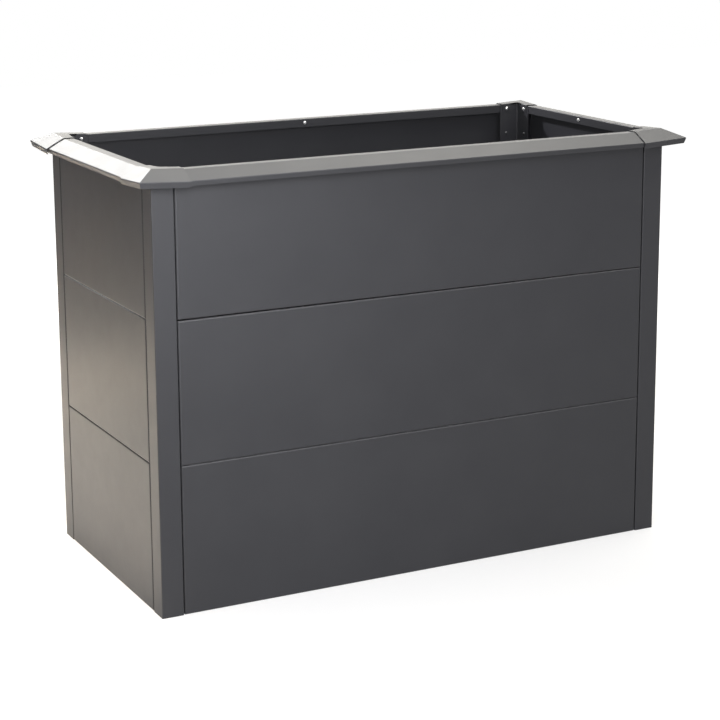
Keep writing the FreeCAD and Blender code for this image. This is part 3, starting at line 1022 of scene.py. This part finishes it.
    def thread(self) -> Shell:
        """Makes the shank on a grid of length and angle.

        Its radius is core + (shank - core) |2 f - 1|, where f is the fraction of y / pitch - angle / turn,
        times a taper that runs to 0 over the tip.

        Returns:
            The shank, from inside the head to its point.
        """
        along = np.linspace(self.SUNK, -self.length, self.THREAD_RINGS)
        angle = np.linspace(0.0, 2 * math.pi, self.THREAD_FACES, endpoint=False)
        turns = along[:, None] / self.pitch - angle / (2 * math.pi)
        wave = np.abs(2 * (turns - np.floor(turns)) - 1)
        taper = np.clip((self.length + along) / self.tip, 0.0, 1.0)[:, None]
        radius = (self.core + (self.shank - self.core) * wave) * taper
        radius[0] = 0.0
        y = np.broadcast_to(along[:, None], radius.shape)
        places = np.stack([radius * np.cos(angle), y, radius * np.sin(angle)], axis=-1)
        return Shell.lofted(places, np.zeros((1, 1)))


@dataclass(frozen=True)
class Softbox:
    """A rectangular studio lamp."""

    name: str
    place: Point  # its middle
    target: Point  # the point that it faces
    width: float
    height: float
    power: float  # in watts
    colour: Colour
    # angle of its beam in degrees; 180 is a bare softbox, and less is one with a grid in front
    spread: float = 180.0

    def hang(self) -> None:
        """Makes the lamp, turned towards its target and hidden from the camera."""
        light = bpy.data.lights.new(self.name, "AREA")
        light.shape = "RECTANGLE"
        light.size = self.width
        light.size_y = self.height
        light.energy = self.power
        light.color = self.colour
        light.spread = math.radians(self.spread)
        lamp = bpy.data.objects.new(self.name, light)
        lamp.location = self.place
        lamp.rotation_euler = (Vector(self.target) - Vector(self.place)).to_track_quat("-Z", "Y").to_euler()
        lamp.visible_camera = False
        bpy.context.collection.objects.link(lamp)
        LOG.info("lamp %s", self.name)


@dataclass(frozen=True)
class Screen:
    """A sheet of matt card that keeps the white surroundings out of a glossy wall."""

    STEPS = (8, 8)  # faces along its edges
    CLOUDS = Pattern(4.0, 3.0)  # darken it, about 250 mm wide
    DARKEST = 0.9  # share of its colour that they leave

    name: str
    corner: Point  # one of its corners
    across: Point  # its first edge from there
    along: Point  # its second edge from there
    colour: Colour  # colour of the card

    def stand(self) -> None:
        """Makes the screen, hidden from the camera."""
        shell = Shell.patch(self.corner, self.across, self.along, self.STEPS)
        shell.furnish(self.name, self.card()).visible_camera = False

    def card(self) -> Material:
        """Makes the card's material.

        Returns:
            A matt material, slightly uneven in colour.
        """
        material, sheet, where = NodeSheet.started(f"{self.name}_card")
        tint = sheet.spread(sheet.noise(where, self.CLOUDS), 0.0, 1.0)
        darker = tuple(self.DARKEST * part for part in self.colour)
        matt = sheet.add("ShaderNodeBsdfDiffuse", Color=sheet.blend(tint, darker, self.colour))
        sheet.add("ShaderNodeOutputMaterial", Surface=matt.outputs[0])
        return material


@dataclass
class Studio:
    """Pale floor, white surroundings, soft lamps and screens beside them."""

    STEPS = (24, 24)  # faces along the floor's sides
    CLOUDS = Pattern(3.0, 3.0)  # darken the floor, about 330 mm wide
    DARKEST = 0.985  # share of its colour that they leave

    reach: float  # half the floor's side
    shaded_to: float  # distance from the middle up to which the floor shows the bed's shadow
    plain_from: float  # distance from which it is plain white
    paint: Colour  # colour of the floor
    lift: float  # white that the floor adds near the bed where it is seen
    screens: Sequence[Screen]
    lamps: Sequence[Softbox]

    def build(self) -> None:
        """Makes the surroundings, the floor, the screens and the lamps."""
        self.surround()
        self.floor()
        for screen in self.screens:
            screen.stand()
        for lamp in self.lamps:
            lamp.hang()
        bpy.context.scene.view_settings.view_transform = "Standard"

    def surround(self) -> None:
        """Makes a world that shows white to the camera and in reflections, and sheds no other light."""
        world = bpy.data.worlds.new("surround")
        world.use_nodes = True
        sheet = NodeSheet(world.node_tree)
        white = sheet.add("ShaderNodeBackground", Color=WHITE, Strength=sheet.shown())
        sheet.add("ShaderNodeOutputWorld", Surface=white.outputs[0])
        bpy.context.scene.world = world

    def floor(self) -> None:
        """Makes the floor, a square grid."""
        side = 2 * self.reach
        shell = Shell.patch((-self.reach, -self.reach, 0.0), (side, 0.0, 0.0), (0.0, side, 0.0), self.STEPS)
        shell.furnish("floor", self.floor_paint())

    def floor_paint(self) -> Material:
        """Makes the floor's paint.

        Returns:
            Matt paint that keeps the bed's shadow near it and shows plain white from some distance on.
        """
        material, sheet, where = NodeSheet.started("floor_paint")
        distance = sheet.add("ShaderNodeVectorMath", where, operation="LENGTH").outputs["Value"]
        lift = sheet.ramp(distance, (self.shaded_to, self.plain_from), (self.lift, 1.0))
        lift.interpolation_type = "SMOOTHSTEP"
        tint = sheet.spread(sheet.noise(where, self.CLOUDS), 0.0, 1.0)
        darker = tuple(self.DARKEST * part for part in self.paint)
        matt = sheet.add("ShaderNodeBsdfDiffuse", Color=sheet.blend(tint, darker, self.paint))
        strength = sheet.math("MULTIPLY", sheet.shown(), lift.outputs[0])
        white = sheet.add("ShaderNodeEmission", Color=WHITE, Strength=strength)
        both = sheet.add("ShaderNodeAddShader", matt.outputs[0], white.outputs[0])
        sheet.add("ShaderNodeOutputMaterial", Surface=both.outputs[0])
        return material


@dataclass(frozen=True)
class Viewpoint:
    """The camera, as the picture of the bed was taken."""

    FRAME_WIDTH = 36.0  # in millimetres

    place: Point  # where it stands
    heading: float  # degrees that it is turned to the right of straight ahead
    dip: float  # degrees that it looks down
    roll: float  # degrees that it leans
    lens: float  # focal length in millimetres
    shift: float  # how far the frame is moved up, as a share of its side

    def build(self) -> None:
        """Makes the camera and makes it the scene's own."""
        data = bpy.data.cameras.new("viewpoint")
        data.lens = self.lens
        data.sensor_width = self.FRAME_WIDTH
        data.shift_y = self.shift
        camera = bpy.data.objects.new("viewpoint", data)
        turn = Matrix.Rotation(math.radians(-self.heading), 4, "Z")
        tilt = Matrix.Rotation(math.radians(90.0 - self.dip), 4, "X")
        lean = Matrix.Rotation(math.radians(self.roll), 4, "Z")
        camera.matrix_world = Matrix.Translation(self.place) @ turn @ tilt @ lean
        bpy.context.collection.objects.link(camera)
        bpy.context.scene.camera = camera
        LOG.info("camera")


# the paler fold tone stands for a thinner film on bends and cut edges, and is partly a painted highlight
ANTHRACITE = Finish(
    "anthracite_powder_coat",
    deep=(0.0400, 0.0406, 0.0444), pale=(0.0450, 0.0456, 0.0494), fold_film_and_highlight_tone=(0.0600, 0.0605, 0.0645),
    gloss=0.375, matt=0.41, fold_gloss=0.06, level=0.20, height=0.00004,
)
DARK_SCREW = Finish(
    "dark_screw_coat",
    deep=(0.0420, 0.0425, 0.0450), pale=(0.0560, 0.0565, 0.0590), fold_film_and_highlight_tone=(0.0560, 0.0565, 0.0590),
    gloss=0.16, matt=0.24, fold_gloss=0.0, level=0.60, height=0.00002,
)
SCREW_ZINC = Finish(
    "bright_zinc",
    deep=(0.54, 0.54, 0.55), pale=(0.70, 0.70, 0.69), fold_film_and_highlight_tone=(0.70, 0.70, 0.69),
    gloss=0.26, matt=0.38, fold_gloss=0.0, level=0.50, height=0.00003, metallic=1.0,
    clouds=Pattern(320.0, 3.0), sheen=Pattern(2400.0, 2.0), peel=Pattern(2400.0, 2.0), grain=0.0, bump=0.4,
)
VIEW = Viewpoint(
    place=(-1.9704, -3.8568, 1.5108), heading=27.1, dip=12.3, roll=-0.305, lens=99.65, shift=-0.10,
)
NEUTRAL, COOL, CREAM = (1.0, 1.0, 1.0), (0.93, 0.91, 1.0), (1.0, 0.97, 0.88)
SAND, WARM, AMBER = (1.0, 0.94, 0.82), (1.0, 0.855, 0.69), (1.0, 0.79, 0.56)
STUDIO = Studio(
    reach=9.0,
    shaded_to=1.6,
    plain_from=3.0,
    paint=(0.50, 0.50, 0.50),
    lift=0.48,
    screens=(
        Screen("warm_screen", (-3.5, 3.7, 0.0), (2.2, 0.0, 0.0), (0.0, 0.0, 1.3), (0.60, 0.52, 0.47)),
        Screen("floor_card", (-2.4, 1.95, 0.002), (1.07, 0.0, 0.0), (0.18, 1.65, 0.0), (0.20, 0.165, 0.145)),
    ),
    lamps=(
        Softbox("back", (-0.2, 3.0, 2.5), (-0.4, 0.0, 0.9), 1.6, 1.2, 30.5, CREAM),
        Softbox("back_low", (-0.45, 3.0, 2.1), (-0.5, 0.0, 0.9), 0.9, 0.7, 23.0, NEUTRAL),
        Softbox("back_strip", (1.6, 3.2, 1.45), (0.3, 0.0, 0.9), 3.2, 0.5, 12.5, SAND),
        Softbox("top_front", (0.35, -0.8, 2.9), (0.2, -0.4, 0.9), 2.6, 1.2, 29.0, NEUTRAL),
        Softbox("top", (1.2, 0.6, 2.9), (0.95, 0.4, 0.9), 4.2, 1.2, 111.0, CREAM),
        Softbox("front_high", (0.0, -3.0, 3.0), (0.0, -0.3, 0.5), 2.4, 1.4, 16.5, COOL),
        Softbox("front_fill", (-0.4, -4.0, 1.28), (-0.1, -0.3, 0.4), 2.0, 1.4, 26.0, COOL),
        Softbox("front_left", (-1.2, -1.6, 1.9), (-0.5, -0.3, 0.7), 0.8, 0.8, 3.2, COOL),
        Softbox("front_corner", (-0.72, -1.1, 1.15), (-0.62, -0.3, 0.85), 0.4, 0.4, 11.3, NEUTRAL),
        Softbox("front_low", (-0.8, -2.2, 0.45), (-0.45, -0.3, 0.25), 0.8, 0.8, 10.5, NEUTRAL),
        Softbox("inner_right", (-0.643, 1.567, 1.82), (0.6, 0.1, 0.86), 0.12, 0.12, 0.54, COOL, 24.0),
        Softbox("floor_left", (-0.95, 0.78, 0.8), (-0.95, 0.781, 0.0), 0.5, 2.2, 18.5, WARM, 60.0),
        Softbox("floor_middle_left", (-1.2, 1.6, 0.6), (-1.2, 1.601, 0.0), 0.4, 0.5, 6.0, AMBER, 50.0),
        Softbox("floor_back_left", (-0.75, 3.0, 0.6), (-0.75, 3.001, 0.0), 0.3, 0.7, 30.0, AMBER, 40.0),
        Softbox("seam_left", (-1.54, 2.97, 1.35), (-0.6, -0.25, 0.61), 0.25, 0.25, 0.023, NEUTRAL, 8.0),
    ),
)


def build_bed() -> None:
    """Builds and dresses every sub-assembly of the bed."""
    body = Body()
    coat = ANTHRACITE.material()
    WallPanels(body, coat).build()
    CornerPosts(body, coat).build()
    Rim(body, coat).build()
    CrossTies(body, coat).build()
    Screws(body, SCREW_ZINC.material(), DARK_SCREW.material()).build()


def main() -> None:
    """Builds the bed, the studio and the camera in order."""
    logging.basicConfig(level=logging.INFO, format="%(name)s %(message)s")
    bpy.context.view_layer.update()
    build_bed()
    STUDIO.build()
    VIEW.build()


if __name__ == "__main__":
    main()
